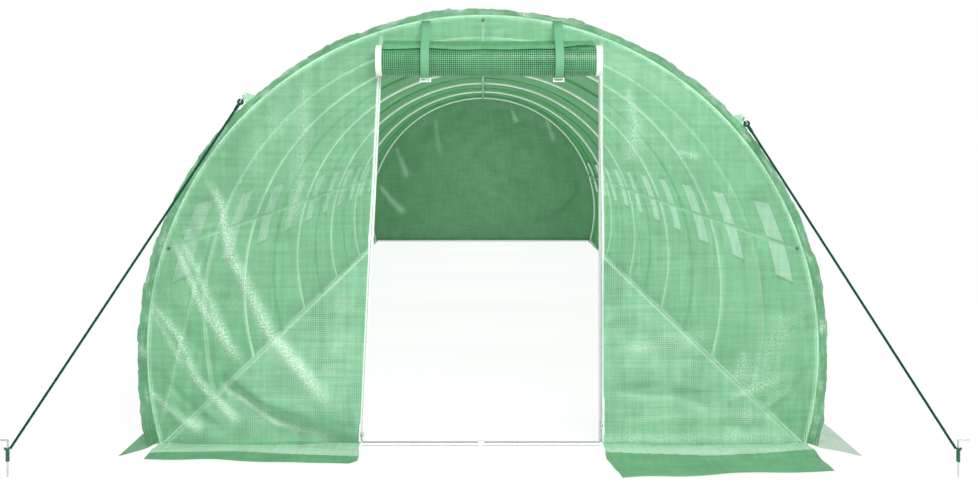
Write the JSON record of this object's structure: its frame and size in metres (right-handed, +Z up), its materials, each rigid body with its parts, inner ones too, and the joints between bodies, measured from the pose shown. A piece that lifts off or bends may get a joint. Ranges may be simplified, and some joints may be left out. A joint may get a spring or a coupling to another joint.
{
  "type": "polytunnel greenhouse",
  "caption": "Walk-in polytunnel greenhouse: bent steel hoops under a translucent green woven film cover, with side window nets, a rolled-up doorway flap, ground skirts and guy ropes.",
  "frame": {"origin": "middle of the footprint, on the ground", "axes": "+Z up, +Y along the tunnel from the doorway to the closed rear wall, +X to the right seen from the doorway"},
  "size_m": [3.862, 10.9536, 1.9163],
  "materials": {
    "frame_tube": "white powder coat",
    "cover_film": "translucent woven film",
    "end_wall_film": "translucent woven film",
    "rear_wall_film": "translucent woven film",
    "skirt_film": "translucent woven film",
    "window_net": "fine net",
    "flap_film": "rolled woven film",
    "door_film": "rolled woven film",
    "zip_tape": "white zip tape",
    "webbing": "green webbing",
    "buckle": "moulded white plastic",
    "ring_steel": "galvanised",
    "rope": "twisted cord",
    "peg_steel": "galvanised"
  },
  "bodies": {
    "root": {"hoop_1": "frame_tube", "hoop_2": "frame_tube", "hoop_3": "frame_tube", "hoop_4": "frame_tube", "hoop_5": "frame_tube", "hoop_6": "frame_tube", "ridge_pole": "frame_tube", "left_purlin": "frame_tube", "right_purlin": "frame_tube", "left_ground_rail": "frame_tube", "right_ground_rail": "frame_tube", "front_ground_bar": "frame_tube", "rear_ground_bar": "frame_tube", "left_door_post": "frame_tube", "right_door_post": "frame_tube", "left_cover_low": "cover_film", "left_cover_windows": "cover_film", "left_cover_shoulder": "cover_film", "left_cover_upper": "cover_film", "left_cover_ridge": "cover_film", "right_cover_low": "cover_film", "right_cover_windows": "cover_film", "right_cover_shoulder": "cover_film", "right_cover_upper": "cover_film", "right_cover_ridge": "cover_film", "front_wall_left": "end_wall_film", "front_wall_right": "end_wall_film", "front_wall_top": "end_wall_film", "cover_end_rims": "end_wall_film", "rear_wall": "rear_wall_film", "left_skirt": "skirt_film", "right_skirt": "skirt_film", "front_skirt_left": "skirt_film", "front_skirt_right": "skirt_film", "rear_skirt": "skirt_film", "window_nets": "window_net", "window_flap_rolls": "flap_film", "door_roll": "door_film", "door_roll_zip_ends": "zip_tape", "door_tie_straps": "webbing", "guy_tabs": "webbing", "door_tie_buckles": "buckle", "guy_rings": "ring_steel", "guy_ropes": "rope", "pegs": "peg_steel"}
  },
  "joints": []
}
